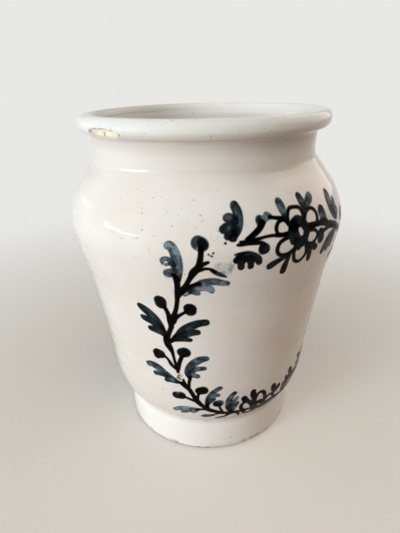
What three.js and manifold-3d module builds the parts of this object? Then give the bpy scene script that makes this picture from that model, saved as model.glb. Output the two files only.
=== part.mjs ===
// A tin-glazed earthenware jar: a thrown clay vessel on a low foot, with a rolled rim, and the two
// coats of white glaze that were put on it, one outside and one inside.
// Millimetres, +Z up. The origin is the middle of the standing face and Z is the jar's axis.
// Azimuth is counted in degrees from -Y towards +X, so -Y is the side that is seen from the front.

import * as THREE from "three";
import { mergeVertices } from "three/addons/utils/BufferGeometryUtils.js";
import Module from "manifold-3d";

const wasm = await Module();
wasm.setup();

// Driving dimensions of the glazed surface
const HEIGHT = 150;
const FOOT = { radius: 41.4, height: 14.8, bareEdge: 1.2 };
const CREASE = { radius: 40.5, height: 17.1 };
const BELLY = { radius: 59.9, height: 108.6 };
const NECK = { radius: 47.5, height: 135 };
const RIM = { radius: 52.9, crestOuter: 50.2, crestInner: 48.6, lip: 46.4, rollHeight: 6.9, fillet: 1.8 };
const FLOOR = { height: 12, flat: 22 };

// Thicknesses
const COAT = 0.5;
const CLEARANCE = 0.1;

// Raw clay underside
const BASE = { chamfer: 0.8, ringInner: 31, recessEdge: 1.5, recess: 1.5 };

// Damage: each scoop is an ellipsoid, [half length along the edge, half depth, half height]
const RIM_CHIP = { azimuth: -43.6, radius: 52.7, height: 145.3, half: [12, 1.5, 2.1] };
const FOOT_CHIPS = [
  { azimuth: 33.5, radius: 41.4, height: 0.6, half: [4.4, 1.1, 1.9] },
  { azimuth: 5.5, radius: 41.4, height: 0.6, half: [1.9, 0.9, 1.3] },
];

const AROUND = 40;
const FILLET_STEPS = 2;
const ROLL_STEPS = 6;
const LIP_STEPS = 3;

// Outside of the body as [radius, height], from the crease above the foot to the fillet under the rim
const OUTSIDE = [
  [CREASE.radius, CREASE.height],
  [44.6, 22],
  [47.2, 29.6],
  [50.3, 52.2],
  [55.1, 82.3],
  [58.2, 96],
  [BELLY.radius, BELLY.height],
  [57, 118.6],
  [51, 127.4],
  [NECK.radius, NECK.height],
  [RIM.crestOuter - RIM.fillet, HEIGHT - RIM.rollHeight - RIM.fillet],
];

// Inside of the body as [radius, height], from the rim's lip down to the rounding of the floor
const INSIDE = [
  [RIM.lip, HEIGHT - RIM.rollHeight / 2],
  [42.5, NECK.height],
  [45.9, 127.4],
  [54.2, 112],
  [52.8, 96],
  [44.8, 52.2],
  [41.2, 29.6],
  [34.5, 16.5],
  [FLOOR.flat, FLOOR.height],
];

const vec = (radius, height) => new THREE.Vector2(radius, height);

// A smooth run of points through stations, with two steps from each station to the next
function smoothRun(stations) {
  const knots = stations.map(([radius, height]) => new THREE.Vector3(radius, height, 0));
  const curve = new THREE.CatmullRomCurve3(knots, false, "centripetal");
  return curve.getPoints(2 * (stations.length - 1)).map((p) => vec(p.x, p.y));
}

// An elliptical arc about [radius, height], from one angle in degrees to another
function arc(radius, height, halfWidth, halfHeight, from, to, steps) {
  return Array.from({ length: steps + 1 }, (_, i) => {
    const angle = THREE.MathUtils.degToRad(from + ((to - from) * i) / steps);
    return vec(radius + halfWidth * Math.cos(angle), height + halfHeight * Math.sin(angle));
  });
}

// The free surface outside, from the bare edge of the foot to the rim's crest
function outerSurface() {
  const halfRoll = RIM.rollHeight / 2;
  const rollWidth = RIM.radius - RIM.crestOuter;
  const underRoll = HEIGHT - RIM.rollHeight - RIM.fillet;
  return [
    vec(FOOT.radius, FOOT.bareEdge),
    vec(FOOT.radius, FOOT.height),
    ...smoothRun(OUTSIDE),
    ...arc(RIM.crestOuter, underRoll, RIM.fillet, RIM.fillet, 180, 90, FILLET_STEPS).slice(1),
    ...arc(RIM.crestOuter, HEIGHT - halfRoll, rollWidth, halfRoll, -90, 90, ROLL_STEPS).slice(1),
    vec((RIM.crestOuter + RIM.crestInner) / 2, HEIGHT),
  ];
}

// The free surface inside, from the rim's crest to the middle of the floor
function innerSurface() {
  const halfRoll = RIM.rollHeight / 2;
  const lipWidth = RIM.crestInner - RIM.lip;
  return [
    vec((RIM.crestOuter + RIM.crestInner) / 2, HEIGHT),
    ...arc(RIM.crestInner, HEIGHT - halfRoll, lipWidth, halfRoll, 90, 180, LIP_STEPS).slice(0, -1),
    ...smoothRun(INSIDE),
    vec(0, FLOOR.height),
  ];
}

// The same run of points, moved into the clay by a depth
function sunk(points, depth) {
  return points.map((point, i) => {
    const before = points[Math.max(i - 1, 0)];
    const after = points[Math.min(i + 1, points.length - 1)];
    const along = after.clone().sub(before).normalize();
    return vec(Math.max(point.x - depth * along.y, 0), point.y + depth * along.x);
  });
}

// A closed body of revolution about Z
function turned(profile) {
  const geometry = new THREE.LatheGeometry(profile, AROUND);
  geometry.rotateX(Math.PI / 2);
  return geometry;
}

// A coat of glaze between a free surface and the same surface sunk by the coat's thickness
function coatProfile(surface) {
  return [...surface, ...sunk(surface, COAT).reverse(), surface[0].clone()];
}

function toSolid(geometry) {
  const bare = geometry.clone();
  bare.deleteAttribute("normal");
  bare.deleteAttribute("uv");
  const merged = mergeVertices(bare, 1e-3);
  const corners = merged.index.array;
  const kept = [];
  for (let i = 0; i < corners.length; i += 3) {
    const [a, b, c] = corners.slice(i, i + 3);
    if (a !== b && b !== c && c !== a) kept.push(a, b, c);
  }
  const mesh = new wasm.Mesh({
    numProp: 3,
    vertProperties: merged.attributes.position.array,
    triVerts: new Uint32Array(kept),
  });
  return new wasm.Manifold(mesh);
}

function toGeometry(solid) {
  const mesh = solid.getMesh();
  const geometry = new THREE.BufferGeometry();
  geometry.setAttribute("position", new THREE.BufferAttribute(mesh.vertProperties, mesh.numProp));
  geometry.setIndex(new THREE.BufferAttribute(mesh.triVerts, 1));
  geometry.computeVertexNormals();
  return geometry;
}

// An ellipsoidal scoop that bites into the surface at an azimuth
function scoop({ azimuth, radius, height, half }) {
  const [length, depth, rise] = half;
  const geometry = new THREE.SphereGeometry(1, 20, 10);
  geometry.scale(length, depth, rise);
  geometry.translate(0, -radius, height);
  geometry.rotateZ(THREE.MathUtils.degToRad(azimuth));
  return toSolid(geometry);
}

function chipped(geometry, chips) {
  const solid = chips.reduce((body, chip) => body.subtract(scoop(chip)), toSolid(geometry));
  return toGeometry(solid);
}

// The thrown and fired vessel, with its raw standing ring and slightly hollowed underside
function clayBody() {
  const skin = sunk([...outerSurface(), ...innerSurface().slice(1)], COAT + CLEARANCE);
  const footRadius = skin[0].x;
  const profile = [
    vec(0, BASE.recess),
    vec(BASE.ringInner - BASE.recessEdge, BASE.recess),
    vec(BASE.ringInner, 0),
    vec(footRadius - BASE.chamfer, 0),
    vec(footRadius, BASE.chamfer),
    ...skin,
  ];
  return chipped(turned(profile), [RIM_CHIP, ...FOOT_CHIPS]);
}

function outerGlaze() {
  return chipped(turned(coatProfile(outerSurface())), [RIM_CHIP, ...FOOT_CHIPS]);
}

function innerGlaze() {
  const [crest, ...rest] = innerSurface();
  const start = vec(crest.x - CLEARANCE, crest.y);
  return turned(coatProfile([start, ...rest]));
}

function part(name, geometry, color, roughness) {
  const material = new THREE.MeshStandardMaterial({ color, roughness, metalness: 0 });
  const mesh = new THREE.Mesh(geometry, material);
  mesh.name = name;
  return mesh;
}

const jar = new THREE.Group();
jar.add(
  part("clay_body", clayBody(), 0xe2cfa6, 0.9),
  part("outer_glaze", outerGlaze(), 0xf1ebe6, 0.15),
  part("inner_glaze", innerGlaze(), 0xefece8, 0.18),
);

export default jar;
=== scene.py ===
"""A tin-glazed earthenware jar with a painted wreath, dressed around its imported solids.

The script's own values are in millimetres and degrees, and Blender gets metres. The origin is the
middle of the standing face and +Z is up. An azimuth is counted from -Y, the side that the camera
looks at, towards +X, so a place on the jar is an azimuth and a height.
"""

import math
from collections import namedtuple

import bpy
import numpy as np
from mathutils import Matrix, Vector, noise


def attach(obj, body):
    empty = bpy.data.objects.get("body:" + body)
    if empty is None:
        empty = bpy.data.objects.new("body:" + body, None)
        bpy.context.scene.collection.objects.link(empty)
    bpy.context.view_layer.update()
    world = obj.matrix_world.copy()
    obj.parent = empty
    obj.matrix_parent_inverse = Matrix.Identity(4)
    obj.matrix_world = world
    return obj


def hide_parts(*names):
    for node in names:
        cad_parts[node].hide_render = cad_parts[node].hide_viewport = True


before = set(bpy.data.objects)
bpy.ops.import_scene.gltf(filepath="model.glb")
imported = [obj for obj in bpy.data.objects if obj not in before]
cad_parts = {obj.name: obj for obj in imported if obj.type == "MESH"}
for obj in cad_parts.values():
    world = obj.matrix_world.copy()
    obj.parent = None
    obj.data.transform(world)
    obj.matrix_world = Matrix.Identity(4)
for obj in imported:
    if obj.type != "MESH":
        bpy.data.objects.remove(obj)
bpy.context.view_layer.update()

MM = 0.001

# The photograph's size in pixels, and its camera, whose focal length is in those pixels
PHOTO_SIZE = (400, 533)
CAMERA = {"place": (0.0, -191.65, 161.54), "down": 23.871, "aside": -1.005, "roll": -1.417, "focal": 425.1}
NEAREST_SEEN = 5

# The jar's free surface, with its lines as points of (radius, height)
HEIGHT = 150.0
FOOT = [
    (40.9, 0.2), (41.3, 0.7), (41.45, 1.8), (41.5, 4.5), (41.5, 9), (41.3, 12.6), (40.8, 15.2),
    (40.75, 17.1),
]
BODY = [
    (40.75, 17.1), (41.6, 18.5), (44.6, 22), (47.2, 29.6), (50.3, 52.2), (55.1, 82.3), (58.2, 96),
    (59.9, 108.6), (57, 118.6), (51.4, 126.9), (49.65, 129.3), (48.25, 131.35), (47.93, 131.84),
    (47.8, 132.38), (47.7, 132.8), (47.6, 133.5), (47.5, 135.3), (47.5, 137), (47.9, 140.8),
]
RIM = {"radius": 52.9, "outer_crest": 50.2, "inner_crest": 48.6, "lip": 46.4, "roll": 6.9, "fillet": 2.3}
INSIDE = [
    (46.4, 146.55), (42.5, 135), (45.9, 127.4), (54.2, 112), (52.8, 96), (44.8, 52.2), (41.2, 29.6),
    (34.5, 16.5), (22, 12), (10, 12),
]
UNDERSIDE = [
    (0, 1.5), (12, 1.5), (24, 1.35), (29.2, 1.4), (30.2, 1.1), (31, 0.3), (31.7, 0), (39.6, 0), (40.1, 0.1),
    (40.35, 0.4),
]
FLOOR_MIDDLE = 5
# The thickness of a coat of glaze, and its gap to the clay
COAT = 0.5
CLEARANCE = 0.1

# How far the thrown body wanders off its axis towards +X, as (height, offset)
WANDER = [
    (0, 0), (20, 0), (45, 0.2), (72, 0.35), (95, 0.2), (110, 0), (122, -0.3), (137, -0.55), (146, -0.2),
    (150, 0),
]
# The rim is a little oval and dips, from the first height up and in full from the second
UNTRUE_RIM = {"heights": (138, 148), "oval": 0.18, "dip": 0.14}
# The thrower's and turner's marks, each as its depth and its pitch for one radian of the wave
MARKS = {
    "outer_rings": (0.03, 1.25), "fine_outer_rings": (0.018, 0.71), "slow_swell": (0.1, 5.3),
    "inner_rings": (0.16, 1.3), "fine_inner_rings": (0.1, 0.83),
}
OUTER_MARKS_SPAN = (19, 32, 128, 139)
INNER_MARKS_SPAN = (12.5, 20, 128, 140)
# The neck meets the shoulder in a tight bend between two heights. On either side of an azimuth, and
# within a reach of degrees, the bend runs lower by a fall, which takes the span of the wall along.
BEND = {"heights": (130, 133.6), "fall": 1.2, "azimuth": -12, "reach": 95, "span": (125, 129.5, 134, 136.5)}
# The glaze along the foot is bitten up to a depth, from the first height down and in full at the second
FOOT_BITES = {"depth": 0.12, "heights": (3.2, 1.0)}

# Breaks, each an uneven scoop: the azimuth, radius and height of its middle, half its length along the
# edge, half its depth and half its rise
CHIPS = {
    "rim_chip": {"at": (-42.3, 52.2, 144.3), "half": (8.8, 1.5, 2.75), "rough": 0.14, "tilt": 0},
    "foot_chip_right": {"at": (33.5, 41.5, 0.7), "half": (4.2, 1.0, 1.5), "rough": 0.3, "tilt": 0},
    "foot_chip_front": {"at": (5.5, 41.5, 0.5), "half": (1.8, 0.9, 1.1), "rough": 0.3, "tilt": 0},
    "stem_flake": {"at": (-14.1, 49.5, 47.3), "half": (1.5, 1.1, 3.0), "rough": 0.35, "tilt": 14},
}

# The meshes: points around the jar, the gaps between the points of each line, of which the coarser lines
# keep one in so many, and the angle from which an edge is sharp
AROUND = 360
SPACING = {"foot": 0.75, "body": 0.18, "rim": 0.42, "lip": 0.4, "inside": 1.3, "underside": 0.7}
ONE_IN = {"body": 5, "bonded": 7, "clay": 3}
SHARP = {"vessel": 40, "paint": 60}


def smooth_run(stations, steps):
    """Points on a centripetal Catmull-Rom curve through stations, whose first two values are their place."""
    p = np.array(stations, float)
    if len(p) == 1:
        return np.vstack([p, p])
    p = np.vstack([2 * p[0] - p[1], p, 2 * p[-1] - p[-2]])
    gaps = np.linalg.norm(np.diff(p[:, :2], axis=0), axis=1) ** 0.5
    t = np.linspace(0, 1, steps, endpoint=False)[:, None]
    run = []
    for i in range(1, len(p) - 2):
        a, b, c = gaps[i - 1 : i + 2]
        before, here, there, after = p[i - 1 : i + 3]
        leave = ((here - before) / a - (there - before) / (a + b) + (there - here) / b) * b
        reach = ((there - here) / b - (after - here) / (b + c) + (after - there) / c) * b
        run.append(
            (2 * t**3 - 3 * t**2 + 1) * here + (t**3 - 2 * t**2 + t) * leave
            + (3 * t**2 - 2 * t**3) * there + (t**3 - t**2) * reach
        )
    return np.vstack([*run, p[-2:-1]])


def smoothstep(low, high, x):
    t = np.clip((x - low) / (high - low), 0, 1)
    return t * t * (3 - 2 * t)


def band(x, start, full, fade, end):
    """Rises from 0 at start to 1 at full, and falls from fade to 0 at end."""
    return smoothstep(start, full, x) * smoothstep(end, fade, x)


def arc(radius, height, half_width, half_height, start, end, steps):
    angle = np.radians(np.linspace(start, end, steps + 1))
    return np.stack([radius + half_width * np.cos(angle), height + half_height * np.sin(angle)], 1)


def even(points, spacing):
    """The same line with points an even distance apart."""
    points = np.array(points, float)
    along = np.concatenate([[0], np.cumsum(np.linalg.norm(np.diff(points, axis=0), axis=1))])
    wanted = np.linspace(0, along[-1], max(2, round(along[-1] / spacing) + 1))
    return np.stack([np.interp(wanted, along, points[:, k]) for k in (0, 1)], 1)


def thinned(points, times, heights=(0, 0)):
    """The same line with one point in so many and its last, and with all its points between two heights."""
    low, high = heights
    number = np.arange(len(points))
    between = (points[:, 1] > low) & (points[:, 1] < high)
    return points[between | (number % times == 0) | (number == number[-1])]


BODY_RUN = smooth_run(BODY, 40)
WANDER_RUN = smooth_run(WANDER, 12)
RIM_CREST = [[(RIM["outer_crest"] + RIM["inner_crest"]) / 2, HEIGHT]]
HALF_ROLL = RIM["roll"] / 2
ROLL_WIDTH = RIM["radius"] - RIM["outer_crest"]


def body_radius(height):
    return np.interp(height, BODY_RUN[:, 1], BODY_RUN[:, 0])


def bent_radius(height, fall):
    """The body's radius with the bend under the neck lowered by a fall."""
    return body_radius(height + fall * band(height, *BEND["span"]))


def outer_profile():
    """The free surface outside, from the bare edge of the foot to the rim's crest."""
    under_roll = HEIGHT - RIM["roll"] - RIM["fillet"]
    fillet = arc(RIM["outer_crest"], under_roll, RIM["fillet"], RIM["fillet"], 180, 90, 24)
    roll = arc(RIM["outer_crest"], HEIGHT - HALF_ROLL, ROLL_WIDTH, HALF_ROLL, -90, 90, 60)
    body = thinned(even(BODY_RUN, SPACING["body"])[:-2], ONE_IN["body"], BEND["heights"])
    body[:, 0] = bent_radius(body[:, 1], BEND["fall"])
    return np.vstack([
        even(smooth_run(FOOT, 20), SPACING["foot"])[:-1],
        body,
        even(np.vstack([fillet, roll[1:], RIM_CREST]), SPACING["rim"]),
    ])


def inner_profile():
    """The free surface inside, from the rim's crest to the middle of the floor."""
    lip_width = RIM["inner_crest"] - RIM["lip"]
    lip = arc(RIM["inner_crest"], HEIGHT - HALF_ROLL, lip_width, HALF_ROLL, 90, 180, 24)
    floor_height = INSIDE[-1][1]
    return np.vstack([
        even(np.vstack([RIM_CREST, lip]), SPACING["lip"])[:-1],
        even(smooth_run(INSIDE, 20), SPACING["inside"]),
        [[FLOOR_MIDDLE, floor_height], [0, floor_height]],
    ])


def sunk(points, depth):
    """The same run of points, moved into the wall by a depth."""
    along = np.gradient(points, axis=0)
    along /= np.linalg.norm(along, axis=1)[:, None]
    moved = points + depth * np.stack([-along[:, 1], along[:, 0]], 1)
    moved[:, 0] = np.maximum(moved[:, 0], 0)
    return moved


def uneven_bend(azimuth, height):
    """How far the bend stands proud of the profile, which has it at its lowest."""
    around = np.clip((azimuth - BEND["azimuth"]) / BEND["reach"], -1, 1)
    fall = BEND["fall"] * np.sin(np.pi * around) ** 4
    return bent_radius(height, fall) - bent_radius(height, BEND["fall"])


def mark(name, height, phase):
    depth, pitch = MARKS[name]
    return depth * np.sin(height / pitch + phase)


def worn_edge(azimuth, height):
    """The glaze thins and bites unevenly along the foot's standing edge."""
    a = np.radians(azimuth)
    bite = np.sin(7 * a + 1) * np.sin(11 * a) + 0.7 * np.sin(23 * a + 2) * np.cos(5 * a)
    return -FOOT_BITES["depth"] * np.clip(bite, 0, 1) * smoothstep(*FOOT_BITES["heights"], height)


def outside_marks(azimuth, height):
    """How far throwing, turning and wear left the outside proud or low."""
    a = np.radians(azimuth)
    rings = mark("outer_rings", height, 0.8 * np.sin(a + 0.6))
    rings = rings + mark("fine_outer_rings", height, 1.1 * np.cos(a))
    swell = mark("slow_swell", height, 2 * np.sin(a)) * np.cos(a - 0.9)
    marks = (rings + swell) * band(height, *OUTER_MARKS_SPAN)
    return marks + uneven_bend(azimuth, height) + worn_edge(azimuth, height)


def inside_marks(azimuth, height):
    a = np.radians(azimuth)
    rings = mark("inner_rings", height, a) + mark("fine_inner_rings", height, -2 * a)
    return rings * band(height, *INNER_MARKS_SPAN)


def on_jar(azimuth, radius, height):
    """The place, in millimetres, of a point of the ideal turned form on the real, slightly uneven jar."""
    a = np.radians(azimuth)
    near_rim = smoothstep(*UNTRUE_RIM["heights"], height)
    radius = radius + UNTRUE_RIM["oval"] * near_rim * np.cos(2 * a + 0.7)
    x = radius * np.sin(a) + np.interp(height, WANDER_RUN[:, 0], WANDER_RUN[:, 1])
    z = height + near_rim * UNTRUE_RIM["dip"] * (np.cos(3 * a + 1.9) + np.cos(a - 0.5) - 2)
    return np.stack([x, -radius * np.cos(a), z], -1)


def shade(mesh, sharp_angle):
    mesh.shade_smooth()
    mesh.set_sharp_from_angle(angle=math.radians(sharp_angle))


def make_object(name, points, faces, sharp_angle):
    mesh = bpy.data.meshes.new(name)
    mesh.from_pydata((points * MM).tolist(), [], faces)
    shade(mesh, sharp_angle)
    piece = bpy.data.objects.new(name, mesh)
    bpy.context.scene.collection.objects.link(piece)
    return piece


def turned(name, loop, closed=False, marks=None):
    """A body of revolution. The loop runs up the outside and down the inside, and may touch the axis."""
    azimuth = np.arange(AROUND) * 360 / AROUND - 180
    rings, numbers, count = [], [], 0
    for radius, height in loop:
        proud = marks(azimuth, height) if marks else 0
        ring = on_jar(azimuth, radius + proud, np.full(AROUND, height))[: 1 if radius < 1e-6 else AROUND]
        rings.append(ring)
        numbers.append(count + np.arange(AROUND) % len(ring))
        count += len(ring)
    faces = []
    for below, above in zip(numbers, numbers[1:] + numbers[:1] if closed else numbers[1:]):
        quads = np.stack([below, np.roll(below, -1), np.roll(above, -1), above], 1)
        if below[0] == below[1] and above[0] == above[1]:
            continue
        if below[0] == below[1]:
            quads = quads[:, [0, 2, 3]]
        elif above[0] == above[1]:
            quads = quads[:, :3]
        faces += quads.tolist()
    return make_object(name, np.vstack(rings), faces, SHARP["vessel"])


def coat(surface):
    """The loop round a coat of glaze: the free surface and, more coarsely, the side on the clay."""
    return np.vstack([surface, thinned(sunk(surface, COAT)[::-1], ONE_IN["bonded"])])


def scoop_frame(at, tilt):
    """A scoop's turn about the jar's axis, its lean, and its middle before the turn."""
    azimuth, radius, height = at
    turn = Matrix.Rotation(math.radians(azimuth), 3, "Z")
    lean = Matrix.Rotation(math.radians(tilt), 3, "Y")
    return turn, lean, Vector((0, -radius, height))


def uneven_scoop(name, at, half, rough, tilt):
    """A cutter with the uneven hollow that a broken flake leaves."""
    turn, lean, middle = scoop_frame(at, tilt)
    bpy.ops.mesh.primitive_ico_sphere_add(subdivisions=5, radius=1)
    scoop = bpy.context.object
    scoop.name = name
    azimuth, _, height = at
    seed = Vector((azimuth, height, 0))
    for vertex in scoop.data.vertices:
        ball = vertex.co.copy()
        swell = 1 + rough * noise.noise(ball * 1.6 + seed) + 0.4 * rough * noise.noise(ball * 5 + seed)
        local = lean @ Vector(size * way for size, way in zip(half, ball)) * swell
        vertex.co = turn @ (local + middle) * MM
    return scoop


def cut(piece, cutters):
    """Takes the cutters out of a piece's own mesh."""
    for cutter in cutters:
        modifier = piece.modifiers.new(cutter.name, "BOOLEAN")
        modifier.object, modifier.operation, modifier.solver = cutter, "DIFFERENCE", "MANIFOLD"
    depsgraph = bpy.context.evaluated_depsgraph_get()
    piece.data = bpy.data.meshes.new_from_object(piece.evaluated_get(depsgraph))
    piece.modifiers.clear()
    piece.data.materials.clear()
    shade(piece.data, SHARP["vessel"])


def make_vessel():
    """The glaze inside and outside and the clay between them, broken through at the chips."""
    outside, inside = outer_profile(), inner_profile()
    skin = sunk(np.vstack([outside, inside[1:]]), COAT + CLEARANCE)
    clay_loop = np.vstack([even(UNDERSIDE, SPACING["underside"]), thinned(skin[1:], ONE_IN["clay"])])
    pieces = {
        "outer_glaze_coat": turned("outer_glaze_coat", coat(outside), closed=True, marks=outside_marks),
        "inner_glaze_coat": turned("inner_glaze_coat", coat(inside), closed=True, marks=inside_marks),
        "clay_vessel": turned("clay_vessel", clay_loop),
    }
    cutters = [uneven_scoop(name, **chip) for name, chip in CHIPS.items()]
    cut(pieces["outer_glaze_coat"], cutters)
    cut(pieces["clay_vessel"], cutters)
    for cutter in cutters:
        bpy.data.objects.remove(cutter)
    return pieces


def srgb(red, green, blue):
    """A colour as it looks on a screen, from 0 to 255, as the linear colour that a shader takes."""
    light = [v / 255 / 12.92 if v <= 10 else ((v / 255 + 0.055) / 1.055) ** 2.4 for v in (red, green, blue)]
    return (*light, 1.0)


GLAZE_WHITE = srgb(239, 236, 233)
GLAZE_CREAM = srgb(237, 231, 225)
# Painted light: a brighter white for the foot and the whole lining, for their thicker glaze and for the
# extra light that they catch
GLAZE_THICK_AND_LIT = srgb(253, 252, 249)
GLAZE_RIM = srgb(238, 239, 236)
# Painted shade on the lining's left side
LINING_PAINTED_SHADE = srgb(228, 229, 226)
GLAZE_BROWN = srgb(190, 168, 138)
# Painted shade: the greyish brown of the shade under the rim's roll
GLAZE_UNDER_ROLL_SHADE = srgb(164, 148, 138)
SPECK_BROWN = srgb(118, 100, 86)
COBALT = [srgb(184, 195, 201), srgb(120, 138, 149), srgb(68, 87, 98), srgb(30, 40, 46), srgb(3, 5, 7)]
MANGANESE = [srgb(180, 166, 154), srgb(112, 94, 80), srgb(58, 44, 34), srgb(22, 14, 9), srgb(4, 2, 1)]
CLAY_PALE = srgb(252, 244, 224)
CLAY_DEEP = srgb(244, 229, 198)
CLAY_DIRT = srgb(128, 100, 72)
CHIP_DIRT = srgb(92, 74, 52)

# Soft noise: the size of its features, its detail, the two values between which it changes, and what it
# gives there, which is 0 and 1 if nothing is said
CLOUDS = {
    "cream": (24, 2, 0.35, 0.65),
    "glaze_roughness": (9, 3, 0.3, 0.7, 0.04, 0.12),
    "clay": (4, 4, 0.35, 0.7),
    "clay_roughness": (1.5, 2, 0.3, 0.7, 0.78, 0.95),
    "hairs": (0.6, 2, 0.3, 0.7, -0.13, 0.13),
    "sweeps": (3.4, 3, 0.36, 0.64, -0.3, 0.3),
    "patchy": (1.6, 3, 0.36, 0.64, 0.5, 1.0),
}
# Heights at which a look starts and is full and, in a band, at which it begins to fade and ends
HEIGHTS = {
    "thick_and_lit_on_foot": (17.5, 14), "thin_on_rim": (139, 144.5), "crest": (145, 147), "below_bend": (129, 127),
    "above_bend": (131.5, 134),
}
# Marks laid over a colour, stains and wear and, under the roll, painted shade: the colour and its strength,
# and for some the heights, as above, and the noise that break it up
STAINS_AND_SHADES = {
    "foot_wear": (GLAZE_BROWN, 0.75, (3.4, 0.8), (3.5, 3, 0.45, 0.62)),
    # Darker brown in broken patches along the crease between foot and body
    "crease": (GLAZE_BROWN, 1.0, (14.8, 16.4, 17.4, 19), (5, 3, 0.45, 0.7, 0.0, 0.22)),
    # Painted shade: a greyish-brown band over the glaze under the rim's roll, where the roll shades the neck
    "under_roll": (GLAZE_UNDER_ROLL_SHADE, 0.3, (136.5, 142, 143.6, 146.2), None),
    "chip_line": (CHIP_DIRT, 1.0, None, (2.4, 3, 0.42, 0.62, 0.1, 0.75)),
    "specks": (SPECK_BROWN, 0.36, None, None),
    "dust": (SPECK_BROWN, 0.26, None, None),
    "soil": (CLAY_DIRT, 0.8, (7, 2.5), (2.6, 3, 0.38, 0.62)),
    "grit": (CLAY_DIRT, 0.6, None, None),
    "chip_edge": (CHIP_DIRT, 0.45, None, (0.9, 3, 0.42, 0.6)),
    "crack": (CHIP_DIRT, 0.7, None, None),
    "film": (GLAZE_WHITE, 0.85, (130, 135), None),
}
# Relief, as the size and detail of its noise and its depth
RELIEF = {"glaze": (3.2, 2, 0.034), "clay_grain": (0.35, 2, 0.05), "clay_lumps": (1.6, 3, 0.12)}
# Round spots: how far apart they are strewn, their greatest radius, and the share of the places they take
SPOTS = {
    "specks": (2.0, 0.6, 0.008), "dust": (1.2, 0.38, 0.012), "pits": (1.0, 0.4, 0),
    "grit": (1.2, 0.25, 0.25),
}
# Patches of the glaze with more spots, as azimuth, height and reach, and the share of places taken there
SPECKLED = {"shoulder": (-12, 116, 24), "share": 0.36}
PITTED = {"neck": (35, 134.8, 13), "share": 0.8}
PIT_DEPTH = 0.12
DUST_DEPTH = 0.03
# The lining is painted darker towards its left, from the first place across the jar to the second, as
# painted shade on the side that the light leaves in shadow
LINING_SHADE_SPAN = (5, -30)
# The rim chip's edges, crack and film of glaze, as shares of the chip's own scoop or of the rim's roll
CHIP_LINE = {"reach": (0.9, 0.985, 1.02, 1.1), "up": (-0.3, 0.05)}
CHIP_EDGE = (0.8, 0.93)
CRACK = {"aside": 0.1, "half_width": (0.05, 0.02), "up": (0.45, 0.2)}
FILM = {"arch": 1.3, "up": (0.85, 1.0)}
# The brush leaves long hairs of ink. Thin ink varies more than thick ink, and faint ink is patchy.
HAIRS = (1, 0.12, 1)
THICK = 1.12
FAINT = (0.34, 0.3)
INK_SHINE = 0.035


class Nodes:
    """A tree of shader nodes, built up node by node."""

    def __init__(self, tree):
        self.tree = tree

    def node(self, kind, settings=None, inputs=None):
        made = self.tree.nodes.new(kind)
        for name, value in (settings or {}).items():
            setattr(made, name, value)
        for name, value in (inputs or {}).items():
            self.feed(made.inputs[name], value)
        return made

    def feed(self, socket, value):
        if isinstance(value, bpy.types.NodeSocket):
            self.tree.links.new(value, socket)
        else:
            socket.default_value = value

    def math(self, operation, a, b=0.0):
        return self.node("ShaderNodeMath", {"operation": operation}, {0: a, 1: b}).outputs[0]

    def plus(self, a, b):
        return self.math("ADD", a, b)

    def minus(self, a, b):
        return self.math("SUBTRACT", a, b)

    def times(self, product, *others):
        for value in others:
            product = self.math("MULTIPLY", product, value)
        return product

    def vector(self, operation, a, b=(0, 0, 0), **inputs):
        made = self.node("ShaderNodeVectorMath", {"operation": operation}, {0: a, 1: b, **inputs})
        return made.outputs["Value" if operation in ("DISTANCE", "LENGTH", "DOT_PRODUCT") else "Vector"]

    def parts(self, vector):
        return self.node("ShaderNodeSeparateXYZ", inputs={"Vector": vector}).outputs

    def step(self, value, low, high, at_low=0.0, at_high=1.0):
        """Goes softly from at_low to at_high as the value goes from low to high."""
        ends = {"Value": value, "From Min": low, "From Max": high, "To Min": at_low, "To Max": at_high}
        return self.node("ShaderNodeMapRange", {"interpolation_type": "SMOOTHSTEP"}, ends).outputs[0]

    def span(self, value, start, full, fade=None, end=None):
        """Rises softly from 0 at start to 1 at full and, if it has an end, falls from fade to 0 there."""
        rising = self.step(value, start, full)
        return rising if end is None else self.times(rising, self.step(value, end, fade))

    def mix(self, share, a, b):
        return self.node("ShaderNodeMix", {"data_type": "RGBA"}, {0: share, 6: a, 7: b}).outputs[2]

    def seen(self, ray, mirrored):
        """1 for what the camera sees, and for what is mirrored as far as that counts."""
        straight = self.math("MAXIMUM", ray["Is Camera Ray"], ray["Is Transmission Ray"])
        return self.math("MAXIMUM", straight, mirrored)


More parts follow.
